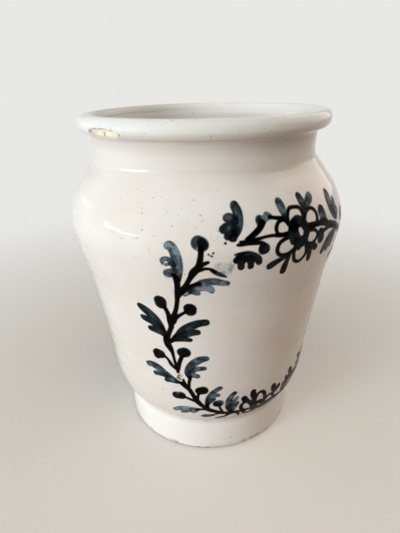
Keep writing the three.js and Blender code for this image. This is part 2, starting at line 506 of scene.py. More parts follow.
class Look(Nodes):
    """A material. Its patterns lie in the piece's own place, in millimetres."""

    def __init__(self, name):
        self.material = bpy.data.materials.new(name)
        self.material.use_nodes = True
        super().__init__(self.material.node_tree)
        self.shader = self.tree.nodes["Principled BSDF"].inputs
        self.place = self.vector("SCALE", self.node("ShaderNodeTexCoord").outputs["Object"], Scale=1 / MM)
        self.across, _, self.height = self.parts(self.place)

    def at(self, heights):
        return self.span(self.height, *heights)

    def noise(self, size, detail, place=None):
        inputs = {"Vector": place or self.place, "Scale": 1 / size, "Detail": detail}
        return self.node("ShaderNodeTexNoise", inputs=inputs).outputs[0]

    def cloud(self, size, detail, *change, place=None):
        return self.step(self.noise(size, detail, place), *change)

    def relief(self, name):
        size, detail, depth = RELIEF[name]
        return self.times(self.noise(size, detail), depth)

    def stained_or_shaded(self, colour, name, *shares):
        """A colour under one of the stains or painted shades, as full as its heights, its noise and some
        shares let it be.
        """
        stain_or_shade, strength, heights, cloud = STAINS_AND_SHADES[name]
        if cloud:
            shares = (self.cloud(*cloud), *shares)
        if heights:
            shares = (self.at(heights), *shares)
        return self.mix(self.times(*shares, strength), colour, stain_or_shade)

    def attribute(self, name):
        return self.node("ShaderNodeAttribute", {"attribute_name": name}).outputs["Vector"]

    def ramp(self, value, colours):
        made = self.node("ShaderNodeValToRGB", inputs={"Fac": value})
        stops = made.color_ramp.elements
        while len(stops) < len(colours):
            stops.new(0.5)
        for i, stop in enumerate(stops):
            stop.position = i / (len(colours) - 1)
        for stop, colour in zip(stops, colours):
            stop.color = colour
        return made.outputs["Color"]

    def spots(self, name, more=0.0):
        """Round spots of mixed size, strewn in their own share of the places and more."""
        spacing, radius, share = SPOTS[name]
        cells = self.node("ShaderNodeTexVoronoi", inputs={"Vector": self.place, "Scale": 1 / spacing})
        luck = self.node("ShaderNodeSeparateColor", inputs={"Color": cells.outputs["Color"]}).outputs
        reach = self.step(luck[1], 0, 1, 0.35 * radius / spacing, radius / spacing)
        spot = self.step(self.math("DIVIDE", cells.outputs["Distance"], reach), 1.0, 0.55)
        return self.times(spot, self.math("LESS_THAN", luck[0], self.plus(more, share)))

    def near(self, azimuth, height, reach):
        """1 at a place on the jar, fading to 0 at a distance from it."""
        place = on_jar(azimuth, body_radius(height), height)
        return self.step(self.vector("DISTANCE", self.place, tuple(place)), reach, 0.6 * reach)

    def from_scoop(self, at, half, tilt, **_):
        """How far a spot is from a scoop's middle, and along, into and up it, as shares of its size."""
        turn, lean, middle = scoop_frame(at, tilt)
        apart = self.vector("SUBTRACT", self.place, tuple(turn @ middle))
        ways = [tuple(way / size) for way, size in zip((turn @ lean).col, half)]
        share = [self.vector("DOT_PRODUCT", apart, way) for way in ways]
        x, y, z = (self.times(value, value) for value in share)
        return self.math("SQRT", self.plus(self.plus(x, y), z)), share

    def depth_in_roll(self):
        """How deep a spot lies in the rim's roll: 1 on its surface, 0 in its middle."""
        radius = self.vector("LENGTH", self.vector("MULTIPLY", self.place, (1, 1, 0)))
        out = self.math("DIVIDE", self.minus(radius, RIM["outer_crest"]), ROLL_WIDTH)
        up = self.math("DIVIDE", self.minus(self.height, HEIGHT - HALF_ROLL), HALF_ROLL)
        return self.math("SQRT", self.plus(self.times(out, out), self.times(up, up)))

    def finish(self, colour, roughness, relief):
        """Gives the shader its colour, roughness and relief in millimetres, and returns the material."""
        self.feed(self.shader["Base Color"], colour)
        self.feed(self.shader["Roughness"], roughness)
        bump = self.node("ShaderNodeBump", inputs={"Height": relief, "Distance": MM, "Strength": 1.0})
        self.feed(self.shader["Normal"], bump.outputs[0])
        return self.material


def chip_line(look):
    """The shares that make the dirty line around the rim chip."""
    reach, (_, _, up) = look.from_scoop(**CHIPS["rim_chip"])
    return look.span(reach, *CHIP_LINE["reach"]), look.step(up, *CHIP_LINE["up"])


def glaze_surface(look, lining=False):
    """Opaque tin glaze with its clouding, specks and pinholes, painted light on the foot and lining, and
    painted shade under the roll and at the lining's left. Gives its colour, roughness and relief.
    """
    colour = look.mix(look.cloud(*CLOUDS["cream"]), GLAZE_WHITE, GLAZE_CREAM)
    # Painted light: the foot, and the whole lining, are a brighter white than the body
    colour = look.mix(1.0 if lining else look.at(HEIGHTS["thick_and_lit_on_foot"]), colour, GLAZE_THICK_AND_LIT)
    colour = look.stained_or_shaded(look.stained_or_shaded(colour, "foot_wear"), "crease")
    # Painted shade: the lining is darker towards its left; the outside's rim takes its own glaze colour
    thin = look.step(look.across, *LINING_SHADE_SPAN) if lining else look.at(HEIGHTS["thin_on_rim"])
    colour = look.mix(thin, colour, LINING_PAINTED_SHADE if lining else GLAZE_RIM)
    # Painted shade under the roll, and the dirty line round the rim chip
    colour = look.stained_or_shaded(look.stained_or_shaded(colour, "under_roll"), "chip_line", *chip_line(look))

    on_shoulder = look.times(look.near(*SPECKLED["shoulder"]), look.at(HEIGHTS["below_bend"]))
    speckled = look.math("MAXIMUM", on_shoulder, look.at(HEIGHTS["crest"]))
    speckled = 0.0 if lining else look.times(speckled, SPECKLED["share"])
    specks, dust = look.spots("specks", speckled), look.spots("dust", speckled)
    on_neck = look.times(look.near(*PITTED["neck"]), look.at(HEIGHTS["above_bend"]))
    pits = look.spots("pits", look.times(on_neck, PITTED["share"]))
    colour = look.stained_or_shaded(look.stained_or_shaded(colour, "specks", specks), "dust", dust)
    relief = look.minus(look.relief("glaze"), look.times(pits, PIT_DEPTH))
    relief = look.minus(relief, look.times(dust, DUST_DEPTH))
    return colour, look.cloud(*CLOUDS["glaze_roughness"]), relief


def make_glaze(name, lining=False):
    look = Look(name)
    return look.finish(*glaze_surface(look, lining))


def chipped_clay(look, colour):
    """The clay's colour in the rim chip: a dirty edge, a short crack, and a film of glaze at the corners."""
    colour = look.stained_or_shaded(colour, "chip_edge", look.step(look.depth_in_roll(), *CHIP_EDGE))
    _, (along, _, up) = look.from_scoop(**CHIPS["rim_chip"])
    beside = look.math("ABSOLUTE", look.plus(along, CRACK["aside"]))
    crack = look.times(look.step(beside, *CRACK["half_width"]), look.step(up, *CRACK["up"]))
    colour = look.stained_or_shaded(colour, "crack", crack)
    arch = look.plus(up, look.times(along, along, FILM["arch"]))
    return look.stained_or_shaded(colour, "film", look.step(arch, *FILM["up"]))


def make_clay():
    look = Look("fired_clay")
    colour = look.stained_or_shaded(look.mix(look.cloud(*CLOUDS["clay"]), CLAY_PALE, CLAY_DEEP), "soil")
    colour = chipped_clay(look, look.stained_or_shaded(colour, "grit", look.spots("grit")))
    relief = look.plus(look.relief("clay_grain"), look.relief("clay_lumps"))
    return look.finish(colour, look.cloud(*CLOUDS["clay_roughness"]), relief)


def make_paint():
    """Cobalt and manganese brushed into the glaze. Each point brings its ink and its place in the stroke."""
    look = Look("painted_glaze")
    bare, roughness, relief = glaze_surface(look)
    ink, warmth, cover = look.parts(look.attribute("ink"))
    hairs = look.cloud(*CLOUDS["hairs"], place=look.vector("MULTIPLY", look.attribute("brush"), HAIRS))
    uneven = look.times(look.plus(hairs, look.cloud(*CLOUDS["sweeps"])), look.minus(THICK, ink))
    tone = look.plus(ink, uneven)
    colour = look.mix(warmth, look.ramp(tone, COBALT), look.ramp(tone, MANGANESE))
    patchy = look.mix(look.step(ink, *FAINT), (1, 1, 1, 1), look.cloud(*CLOUDS["patchy"]))
    look.shader["Specular IOR Level"].default_value = INK_SHINE
    return look.finish(look.mix(look.times(cover, patchy), bare, colour), roughness, relief)


# The painter's inks: darkness at a stroke's start, middle and end, warmth from cobalt (0) to manganese
# brown (1), the width of the soft edge, how much pigment pools at the edge, and how well the ink hides
Ink = namedtuple("Ink", "tone warmth soft pool hides", defaults=(0.0, 1.0))
INKS = {
    "stem": Ink((1.0, 0.97, 1.0), 1.0, 0.4),
    "umber": Ink((1.0, 0.84, 0.95), 0.8, 0.5, 0.05),
    "night": Ink((0.97, 0.82, 0.84), 0.15, 0.5, 0.06),
    "dusk": Ink((0.97, 0.76, 0.82), 0.1, 0.5, 0.16),
    "navy": Ink((0.91, 0.66, 0.68), 0.08, 0.5, 0.05),
    "slate": Ink((0.86, 0.54, 0.55), 0.05, 0.55, 0.07),
    "mist": Ink((0.78, 0.44, 0.44), 0.0, 0.55, 0.08, 0.98),
    "haze": Ink((0.6, 0.4, 0.42), 0.0, 0.6, 0.05, 0.96),
    "core": Ink((0.98, 0.98, 0.98), 0.3, 1.0),
    "smear": Ink((0.14, 0.14, 0.14), 0.0, 1.8, hides=0.7),
    "bare": Ink((0.0, 0.0, 0.0), 0.0, 0.4),
}
# Where along a stroke its start has faded into its middle, and from where its middle fades into its end
FADES = (0.45, 0.6)
POOL_WIDTH = 0.45
# Where paint covers the glaze by less than this, a stroke's tone counts in full
BARELY_COVERED = 0.02

# Brush strokes in runs, each an ink and the strokes painted with it, and each stroke its stations of
# (azimuth, height, half width). The whole wreath sits lower on the jar by DROP than the stations say, and
# the ink has run a little into the glaze by SPREAD.
DROP = 0.4
SPREAD = 0.18
ARM_STEMS = [
    ("stem", [(24, 25.8, 0.75), (19, 25.6, 0.75), (15, 25.8, 0.95), (12, 25.9, 1.05), (7, 26.6, 0.95),
      (3, 28, 1.05), (-0.8, 29.6, 1.15), (-3, 31.4, 0.95), (-6, 34.6, 1.15), (-8, 38, 0.95),
      (-9.9, 41.6, 0.95), (-11.7, 43.1, 1.05), (-14, 44.9, 0.85)],
     [(-15, 50.9, 0.55), (-15, 53, 0.95), (-15.8, 56, 0.65), (-16.4, 60, 0.65), (-17.1, 63, 1.15),
      (-18.2, 65.5, 1.55), (-18.4, 68.5, 1.45), (-17, 71.6, 0.95), (-15.7, 74.5, 0.95), (-15.1, 78, 1.25),
      (-13.7, 80.8, 0.95), (-12.5, 84, 0.75), (-11.6, 88, 0.75), (-11.1, 91.5, 0.95), (-10.7, 95, 0.95),
      (-10.8, 98, 1.05), (-11.5, 99.4, 0.75)], [(-12.6, 47, 0.4), (-12.3, 45.3, 0.7), (-11.5, 43.6, 0.8)],
     [(-10.7, 90.6, 0.95), (-9.3, 93, 1.05), (-7.5, 95.6, 0.85), (-5.8, 98.8, 0.95), (-4.6, 101, 1.35),
      (-2.9, 103.2, 1.15), (-2.2, 106, 0.95), (-1.8, 109.5, 0.85), (-1.8, 110.6, 0.85)],
     [(-3, 103, 0.8), (-1.2, 104.3, 0.7), (0.3, 105, 0.5)],
     [(-3.4, 101.6, 0.8), (-0.5, 102.5, 0.5), (1.4, 102.1, 0.5), (2.6, 101.2, 0.5)],
     [(-9.7, 91.6, 0.8), (-8, 93.6, 0.8), (-5.5, 95.3, 0.7), (-2.8, 96.3, 0.5)],
     [(-17, 84, 0.8), (-16, 81, 0.9), (-15.8, 78, 1.1), (-15.5, 75, 1)],
     [(-8.8, 82.9, 0.5), (-11, 81.4, 0.6), (-13, 79.9, 0.9), (-14.3, 77.5, 1)],
     [(-20.7, 58.8, 0.6), (-19.1, 57, 0.6), (-17.7, 54.4, 0.8), (-16.2, 52.9, 0.7), (-15, 52.2, 0.8)],
     [(-12.5, 59.6, 0.8), (-13.7, 56.5, 0.8), (-14.6, 53.5, 0.9), (-15, 50.9, 0.6)],
     [(-9.1, 48.6, 0.7), (-9.8, 46, 0.6), (-10, 43.5, 0.6), (-10.3, 42, 0.7)],
     [(-12.6, 36.9, 0.6), (-9.5, 35.6, 0.6), (-6.5, 34.5, 0.75), (-4.8, 33.3, 0.85)],
     [(-5.3, 39.8, 0.5), (-5.9, 37.6, 0.6), (-6.4, 35.4, 0.9)], [(-1.2, 33, 0.75), (-1.1, 30.2, 0.95)],
     [(5.1, 31.6, 0.4), (6, 29.4, 0.45), (7.2, 27, 0.6)],
     [(5.5, 26.3, 0.5), (3, 25.8, 0.4), (1.5, 25.2, 0.3)],
     [(-1.5, 29.8, 0.7), (-4, 29.5, 0.6), (-7, 29.3, 0.4)],
     [(11.8, 27.2, 0.7), (12, 25.8, 0.9), (10, 24.4, 0.7), (8.8, 23.3, 0.5)],
     [(14.5, 25.8, 0.6), (16, 24.4, 0.6), (17.2, 22.3, 0.4)]),
]
ARM_LEAVES = [
    # The curled leaf at the top of the arm
    ("mist", [(-10.2, 97.8, 1.1), (-9.9, 101, 1.6), (-9.8, 105, 1.8), (-10.6, 108.9, 1.7),
      (-12, 110.9, 1.5), (-12.9, 110.7, 1.1)],
     [(-11.3, 103.6, 1), (-12.2, 105.5, 0.9), (-13.7, 106, 0.8), (-14.9, 105.2, 0.8), (-14.9, 104.2, 0.5)],
     [(-12.9, 104, 0.5), (-13.8, 103.6, 0.45)],
     [(-11.2, 101.3, 1.1), (-12.6, 100.8, 1.3), (-13.7, 100, 1.5), (-13.3, 99.6, 1.2)]),
    # The leaf that reaches inward below the fork
    ("mist", [(-8.6, 92, 0.7), (-5, 94.8, 1.1), (-1.5, 96.6, 1.4), (2.5, 97, 1.4), (5.5, 96.2, 1.1),
      (6.8, 96, 0.9)],
     [(-6.5, 93.2, 1), (-3.5, 94, 1.2), (-0.5, 94.4, 1.3), (1, 93.6, 1.2), (1.4, 92.8, 0.9)],
     [(-6, 92.8, 1), (-4.5, 92.2, 1.1), (-3.5, 91.9, 0.8)], [(-6.8, 92.2, 0.9), (-8.4, 91.1, 0.7)]),
    # The upper pair
    ("dusk", [(-18.8, 70, 1), (-19.8, 73, 1.4), (-21.6, 76.6, 1.8), (-24, 79.4, 2), (-26.7, 81.5, 1.8),
      (-28.4, 82.6, 1.3)],
     [(-19.8, 72, 1.2), (-22, 74.3, 1.5), (-25, 76.3, 1.6), (-27.6, 76.9, 1.4), (-28.3, 77.2, 1.1)],
     [(-18.9, 69.8, 1), (-21, 71.3, 1.4), (-23.4, 72, 1.5), (-25.3, 72.3, 1.3)],
     [(-16.4, 67.4, 0.8), (-15, 69, 1), (-12.6, 71.3, 1.5), (-10.6, 73.5, 1.8), (-7.6, 75.8, 1.8),
      (-4, 77.6, 1.6), (-1.3, 78.1, 1.5)],
     [(-13, 70.2, 1.3), (-10, 71.6, 1.5), (-7, 72.8, 1.4), (-4.8, 73.2, 1.3)],
     [(-15.2, 68.4, 1), (-12.5, 69, 1.1), (-10, 69.2, 1.1), (-8, 69.1, 0.9)]),
    # The middle pair
    ("slate", [(-14.4, 44.7, 0.6), (-16.8, 45.8, 1.1), (-19.3, 47.2, 1.5), (-22.3, 49.2, 1.6),
      (-25.3, 51.1, 1.8), (-28.2, 52, 1.7), (-30.6, 51.7, 1.3)],
     [(-20, 46.8, 1.1), (-23, 47.8, 1.3), (-25.5, 47.8, 1.3), (-27.4, 47.4, 1.1)],
     [(-16.2, 45, 0.9), (-19, 45.4, 1.2), (-21.4, 45.1, 1.1)],
     [(-9.6, 48.6, 0.8), (-10.3, 50.8, 1.2), (-9.4, 53.6, 1.5), (-7.1, 56.6, 1.7), (-4, 58.8, 1.6),
      (-1.4, 59.5, 1.2)], [(-8.8, 51.6, 1.1), (-6.8, 53, 1.1), (-4.5, 53.8, 1.1), (-2.4, 54, 1)],
     [(-9, 49.6, 0.9), (-7.4, 50, 1.2), (-5.7, 49.6, 1.1)]),
    # The lowest pair and the small leaf under the stem
    ("slate", [(-1.2, 31.5, 0.6), (-1.2, 34, 0.9), (-0.4, 37, 1.1), (1.4, 39.7, 1.1), (3.7, 41.8, 1),
      (5.4, 42.7, 0.9)], [(-0.4, 35, 0.9), (0.9, 37.2, 1.1), (2.7, 38.4, 1.1), (4.1, 38.6, 1)],
     [(-0.6, 33.6, 0.8), (0.8, 35.2, 0.9), (2.4, 36.2, 0.7)]),
    ("haze", [(-5, 29.6, 0.6), (-8, 29.4, 1), (-12, 29.5, 1.3), (-16, 28.7, 1.2), (-19.2, 27.3, 0.9)],
     [(-9.5, 28.8, 1), (-12.3, 27.7, 1.1), (-14.8, 26.5, 0.9)], [(-6.6, 28.7, 0.8), (-8.9, 27.5, 1)]),
    ("slate", [(2.4, 25.3, 0.5), (0, 25, 1), (-2, 24.8, 1.1), (-3.6, 24.7, 0.8)],
     [(10, 24, 0.4), (7.6, 23.2, 0.7), (5.2, 22.7, 0.7), (3.6, 22.6, 0.4)]),
    # The leaf beside the lower rosette
    ("slate", [(11.7, 26.8, 0.8), (10.2, 30, 1.3), (10, 33.5, 1.4), (11, 36.7, 1.2), (12.8, 38.7, 1)]),
    ("mist", [(11.8, 31, 1.2), (13.2, 34, 0.9), (14.5, 35.8, 0.7)],
     [(12.3, 28, 1.1), (13.9, 30.4, 0.9), (14.9, 32.4, 0.7)]),
]
ARM_BERRIES = [
    ("mist", [(-2.6, 111.9, 2.4), (-1.7, 111.4, 2.5)]),
    ("core", [(-1.5, 112.2, 1.4), (-0.9, 111.2, 1.5)]),
    ("dusk", [(-18.5, 87, 2.4), (-18.5, 85.7, 2.3)]),
    ("core", [(-18.1, 86, 1.6)]),
    ("night", [(-7, 84.5, 2.4), (-7, 83.6, 2.3)]),
    ("core", [(-6.9, 84, 1.9)]),
    ("dusk", [(-24, 59.5, 2.3), (-22.9, 59.3, 2.2)], [(-24.6, 58, 1.5)]),
    ("core", [(-22.8, 59, 1.2)]),
    ("night", [(-11.7, 62, 2.4), (-10.9, 62.3, 2.5)]),
    ("core", [(-11.2, 62, 1.8)]),
    ("slate", [(-17, 37.1, 1.9), (-14.6, 37.4, 2.1)]),
    ("core", [(-14.6, 37.2, 1.3)]),
    ("night", [(-4.7, 41.2, 2), (-3, 41.6, 2.1)]),
    ("core", [(-3.8, 41.3, 1.5)]),
    ("slate", [(4, 33.3, 1.9), (5.1, 33.5, 1.9)]),
    ("core", [(4.9, 32.8, 1.2)]),
]
SPRAY_LEAVES = [
    ("navy",
     [(8.4, 113.2, 1.22), (9.9, 115.4, 1.62), (10.9, 118.3, 1.72), (11, 121.2, 1.62), (10.4, 122.7, 1.52)],
     [(9.5, 118.4, 1.42), (8, 119.4, 1.42), (7, 119.4, 1.12)],
     [(8.8, 115.8, 1.52), (7, 116.4, 1.62), (5.7, 116, 1.32)]),
    ("night", [(8.6, 114.2, 1.42), (7.3, 114, 1.32), (6.9, 113.7, 1.12)],
     [(8.3, 113.2, 1), (9, 112.9, 0.9)],
     [(9.8, 105.2, 1.2), (11.2, 106.4, 1.4), (13.2, 106.8, 1.5), (15.3, 106.2, 1.4), (17, 104.8, 1.4),
      (17.5, 103.6, 1.1)], [(12, 105.4, 1.3), (11.2, 103.6, 1.2), (11.3, 102.4, 1.2)],
     [(14, 105.4, 1.3), (14.6, 103.4, 1.1), (14.6, 102.3, 1.1)]),
]
SPRAY_STEMS = [
    ("stem", [(10.1, 110.7, 0.4), (11.2, 110.7, 0.55), (13, 111, 0.6)],
     [(11, 111.6, 0.4), (12.2, 111.6, 0.5)],
     [(13.2, 112.3, 0.6), (15.5, 113.5, 0.9), (18, 115.3, 1), (19.3, 116.8, 1)],
     [(12.8, 111.3, 0.6), (14.5, 111.6, 0.7), (18, 112.2, 0.45), (22, 112.5, 0.45), (25, 112.1, 0.6),
      (28.5, 112, 0.8)], [(12.2, 111, 0.6), (15.5, 110.9, 0.7), (18, 110.6, 0.7), (19.3, 109.9, 0.7)],
     [(22.3, 118.4, 0.5), (25, 117.8, 0.55), (27.8, 117.4, 0.6)]),
]
SPRAY_BERRIES = [
    ("mist", [(18.5, 117.9, 1.5), (18.7, 117, 1.5)]),
    ("haze", [(21.4, 118.9, 1.2), (22.4, 118.6, 0.9)]),
    ("mist", [(19, 117.4, 1.3), (21, 118.4, 1)]),
    ("night", [(18.9, 108.3, 1.9), (19.3, 108.4, 1.9)]),
]
FAR_SPRAY_LEAVES = [
    ("slate",
     [(59, 111.6, 1.45), (57.2, 113.4, 2.15), (55.8, 116, 2.35), (55.2, 118.8, 2.15), (55.8, 120.5, 1.85)],
     [(58, 114.4, 1.95), (59.2, 116.6, 1.75), (59.4, 117.6, 1.35)],
     [(59, 112.2, 1.65), (60.6, 113.4, 1.55)]),
    ("night",
     [(58, 106.2, 1.25), (55.5, 105.6, 1.85), (52.5, 104.6, 2.15), (50, 102.6, 2.05), (48.6, 100.6, 1.65)],
     [(54, 104, 1.85), (52.6, 101.6, 1.65), (52.4, 100.4, 1.45)],
     [(56.5, 104, 1.75), (55.8, 101.8, 1.55), (55.6, 101, 1.35)]),
]
FAR_SPRAY_BERRIES = [
    ("slate", [(47.4, 116.2, 2.1), (47.9, 114.2, 2.3)]),
    ("night", [(45, 108.5, 2), (45.3, 106.7, 2.1)]),
]
FAR_SPRAY_STEMS = [
    ("stem", [(38.5, 112.9, 0.95), (42, 112.6, 0.95), (46, 112.1, 0.85), (50, 111, 1.05), (54, 109.9, 1.05),
      (58, 108.4, 1.05), (61, 106.8, 0.95), (64.5, 105, 0.95)],
     [(45.3, 113, 0.65), (48, 112.9, 0.7), (50, 111.9, 0.75)],
     [(46.3, 109, 0.75), (49, 109.4, 0.7), (52, 109.5, 0.7), (56, 109.1, 0.75)]),
]
TOP_ROSETTE = [
    ("stem", [(29.2, 115.2, 0.66), (29.6, 117.8, 0.56), (30.9, 119.9, 0.56), (33.5, 120.1, 0.51),
      (35.8, 119.4, 0.61), (36.6, 117.4, 0.71), (36.5, 115, 0.76)],
     [(29, 115.6, 0.66), (27.6, 116.8, 0.56), (25.4, 116.4, 0.56), (24.2, 114.6, 0.66), (24.4, 112.9, 0.61),
      (26, 112.2, 0.56), (28.6, 112.1, 0.76)],
     [(29, 111, 0.76), (27, 110.5, 0.66), (24.8, 109.3, 0.66), (24, 107, 0.71), (24.9, 105.2, 0.66),
      (27, 104.6, 0.66), (29.2, 105, 0.66), (31.2, 106.2, 0.66)],
     [(31.4, 106.5, 0.76), (31.2, 103.6, 0.66), (32.1, 101.2, 0.66), (34.1, 100.2, 0.56),
      (36.1, 101.1, 0.61), (37.2, 103, 0.66), (36.8, 106, 0.76)],
     [(37.4, 106.6, 0.76), (39.8, 106, 0.66), (42, 107.2, 0.66), (42.8, 109.2, 0.61), (41.3, 110.8, 0.56),
      (38.9, 111.3, 0.66)],
     [(37, 115.8, 0.76), (38.7, 117.8, 0.56), (41, 118.5, 0.56), (43.2, 117.4, 0.66), (44, 115.1, 0.76),
      (43, 113, 0.76), (40.5, 112.3, 0.76), (38, 112.2, 0.76)]),
    ("night", [(31.6, 115, 1.7), (33.5, 115.8, 1.6), (35.4, 114.8, 1.7)],
     [(30.5, 113.4, 1.7), (30.3, 111.6, 1.8), (30.7, 109.3, 1.6)],
     [(36.4, 113.6, 1.8), (37.2, 111.8, 1.6), (36.4, 109.9, 1.6)],
     [(32.3, 108.4, 1.8), (34.1, 107.8, 1.8), (36.1, 107.8, 1.5)],
     [(33, 113.2, 1.3), (32.8, 111.4, 1.1), (34.9, 109, 1.2)], [(32.6, 108, 1.5), (33.1, 106.4, 1.3)]),
    ("bare", [(34, 112.4, 0.6), (34.4, 111, 0.6)]),
    ("slate", [(28.5, 117.3, 0.5), (28.2, 119, 1.1), (27.9, 120.9, 1.6), (27.6, 122.2, 1.5)],
     [(37.7, 117.8, 0.7), (38.1, 119.4, 1.1), (37.9, 121.2, 1.6), (37.6, 122.7, 1.4)],
     [(38.6, 119, 0.6), (40.4, 120.3, 1.1), (42.3, 121.4, 1.4), (43.5, 122.2, 1.2)]),
    ("night",
     [(29.3, 104.6, 0.8), (28, 104, 0.8), (25.3, 102.9, 1), (22.8, 101.7, 1.3), (21.8, 101.1, 1.3)],
     [(29.3, 104.8, 0.8), (28.7, 102.4, 0.9), (28, 99.6, 1.3), (27.7, 97.9, 1.3)],
     [(37.8, 105.4, 1), (38.8, 103.6, 1.2), (39.4, 101.6, 1.3), (39.6, 99.9, 1.1)],
     [(38.4, 105.8, 1.1), (40.5, 105, 1.3), (42.4, 103.8, 1.2)]),
]
LOWER_ROSETTE = [
    ("stem", [(18.6, 26.2, 0.8), (17.4, 28, 0.8), (17.5, 30.2, 0.8), (19.3, 31.5, 0.8), (21.3, 31, 0.8),
      (22.8, 29.4, 0.8), (24, 27.6, 0.9)]),
    ("umber", [(18.3, 34.4, 1.3), (19.2, 32.9, 1.4), (20.6, 31.8, 1.1), (22.4, 30.6, 0.9)],
     [(23.3, 37, 1.2), (23.5, 35.2, 1.4), (24, 33.4, 1.1), (24.4, 31.5, 1), (25, 29.4, 1.1)]),
    ("stem", [(25.3, 29.5, 0.9), (25.3, 32, 0.8), (26.3, 34.4, 0.75), (28.3, 35.2, 0.75), (30.2, 34.2, 0.8),
      (31.4, 31.6, 0.85), (32.2, 29.3, 0.9)]),
    ("umber", [(26, 28.2, 1.1), (28.6, 28.4, 1.5), (31.4, 27.6, 1.2)],
     [(26.4, 25.8, 1.1), (28.6, 24.2, 1.2), (31.2, 24.8, 1.4), (32, 26.4, 1.2)]),
    ("stem", [(32.6, 28.8, 0.9), (34.2, 30.1, 0.8), (36.4, 30.3, 0.8), (38.2, 28.8, 0.8), (39.4, 26.4, 0.8),
      (38.5, 24.4, 0.8), (35.5, 24.2, 0.8), (33, 25.2, 0.9)]),
    ("umber", [(36.6, 35.5, 1.2), (37.2, 33.8, 1.5), (38, 32.1, 1.2), (38.6, 30.2, 0.9)],
     [(41.1, 33.4, 1.2), (40.7, 32.2, 1.3), (39.8, 30.8, 1)]),
    ("stem", [(19.2, 26, 0.8), (19.8, 23.6, 0.8), (22, 22.6, 0.8), (24.4, 23.2, 0.8), (25.6, 25.2, 0.9)],
     [(26.6, 23.8, 0.8), (26.4, 21.6, 0.8), (28.6, 20.3, 0.8), (31, 20.8, 0.8), (32, 22.8, 0.8)]),
    ("umber", [(24.8, 22.4, 0.9), (24, 21.2, 1.2)], [(34.2, 23.4, 0.9), (35.2, 21.9, 1.2)]),
    ("stem", [(38.8, 26.2, 0.9), (41, 25.6, 0.9), (43.5, 25.6, 1)]),
]
# What is left where paint and glaze flaked off between the left arm and the upper rosette
FLAKED_PATCH = [
    ("smear", [(3.2, 102.9, 1.2), (5.4, 103.6, 1.3), (7.8, 102.6, 1.2)],
     [(4.6, 100.8, 1), (7.2, 100.6, 0.9)], [(8.3, 104.6, 1), (9.6, 106.6, 0.8)]),
    ("slate", [(1.4, 101.7, 0.5), (2.9, 100.7, 0.8), (4.4, 99.8, 0.7), (6.2, 98.9, 0.35)]),
    ("night", [(0.6, 107.9, 0.25)], [(1.4, 107.4, 0.2), (1.7, 107.2, 0.2)], [(2.1, 108.4, 0.28)],
     [(6.1, 111.6, 0.35)], [(8.7, 112.4, 0.3), (9.1, 112.2, 0.25)],
     [(9.1, 107.4, 0.2), (10.4, 107.7, 0.3), (11.8, 107.8, 0.4)]),
]
# The stem that flaked off there, which the far arm still has
FLAKED_STEM = [
    ("stem", [(0.3, 105, 0.6), (4.5, 107.7, 0.8), (9, 109.9, 0.8), (12.5, 110.8, 0.6)]),
]

CANVAS = {"azimuths": (-36, 102), "heights": (17.6, 125.4), "step": 0.25}
# How far around a stroke its outline is known, and the value for further away
REACH = 3
FAR = 1e9
# The far arm mirrors the near one about an azimuth that leans from the lower rosette to the upper. Each
# stroke strays a little and is up to so much bolder. The arm sinks by a drop between two heights, widens
# by a share between two others, and its leaves and berries are umber below a height and in darker inks
# above it, as painted warm shade on that side of the jar.
MIRROR = {"heights": (26, 45, 111), "azimuths": (29.5, 32.1, 32.4)}
FAR_HAND = {"stray": 0.25, "bolder": 1.15, "drop": 1.2, "drops": (50, 100), "wider": 0.2, "widens": (58, 44)}
# Painted warm shade on the far arm: below this height its leaves and berries are umber, and the inks below
# are swapped for darker ones
WARM_SHADE_BELOW = 62
FAR_SHADED_INKS = {"slate": "night", "dusk": "night", "navy": "night", "haze": "slate"}


def each_stroke(runs):
    """The strokes of some runs in the order in which they are painted, each with its ink."""
    return [(ink, stations) for ink, *strokes in runs for stations in strokes]


def far_arm(runs, luck):
    """The runs of the near arm mirrored, each stroke put down a little differently by hand."""
    mirrored = []
    hand = FAR_HAND
    stray = hand["stray"]
    for ink, stations in each_stroke(runs):
        aside, raised, bolder = luck.uniform((-stray, -stray, 1.0), (stray, stray, hand["bolder"]))
        azimuth, height, width = np.array(stations, float).T
        # Painted warm shade: low leaves and berries of the far arm turn umber, and its other inks darker
        umber = height[0] < WARM_SHADE_BELOW and ink != "stem"
        azimuth = 2 * np.interp(height, MIRROR["heights"], MIRROR["azimuths"]) - azimuth + aside
        width = width * bolder * (1 + hand["wider"] * smoothstep(*hand["widens"], height))
        height = height + raised - hand["drop"] * smoothstep(*hand["drops"], height)
        far_ink = "umber" if umber else FAR_SHADED_INKS.get(ink, ink)
        mirrored.append((far_ink, np.stack([azimuth, height, width], 1)))
    return mirrored


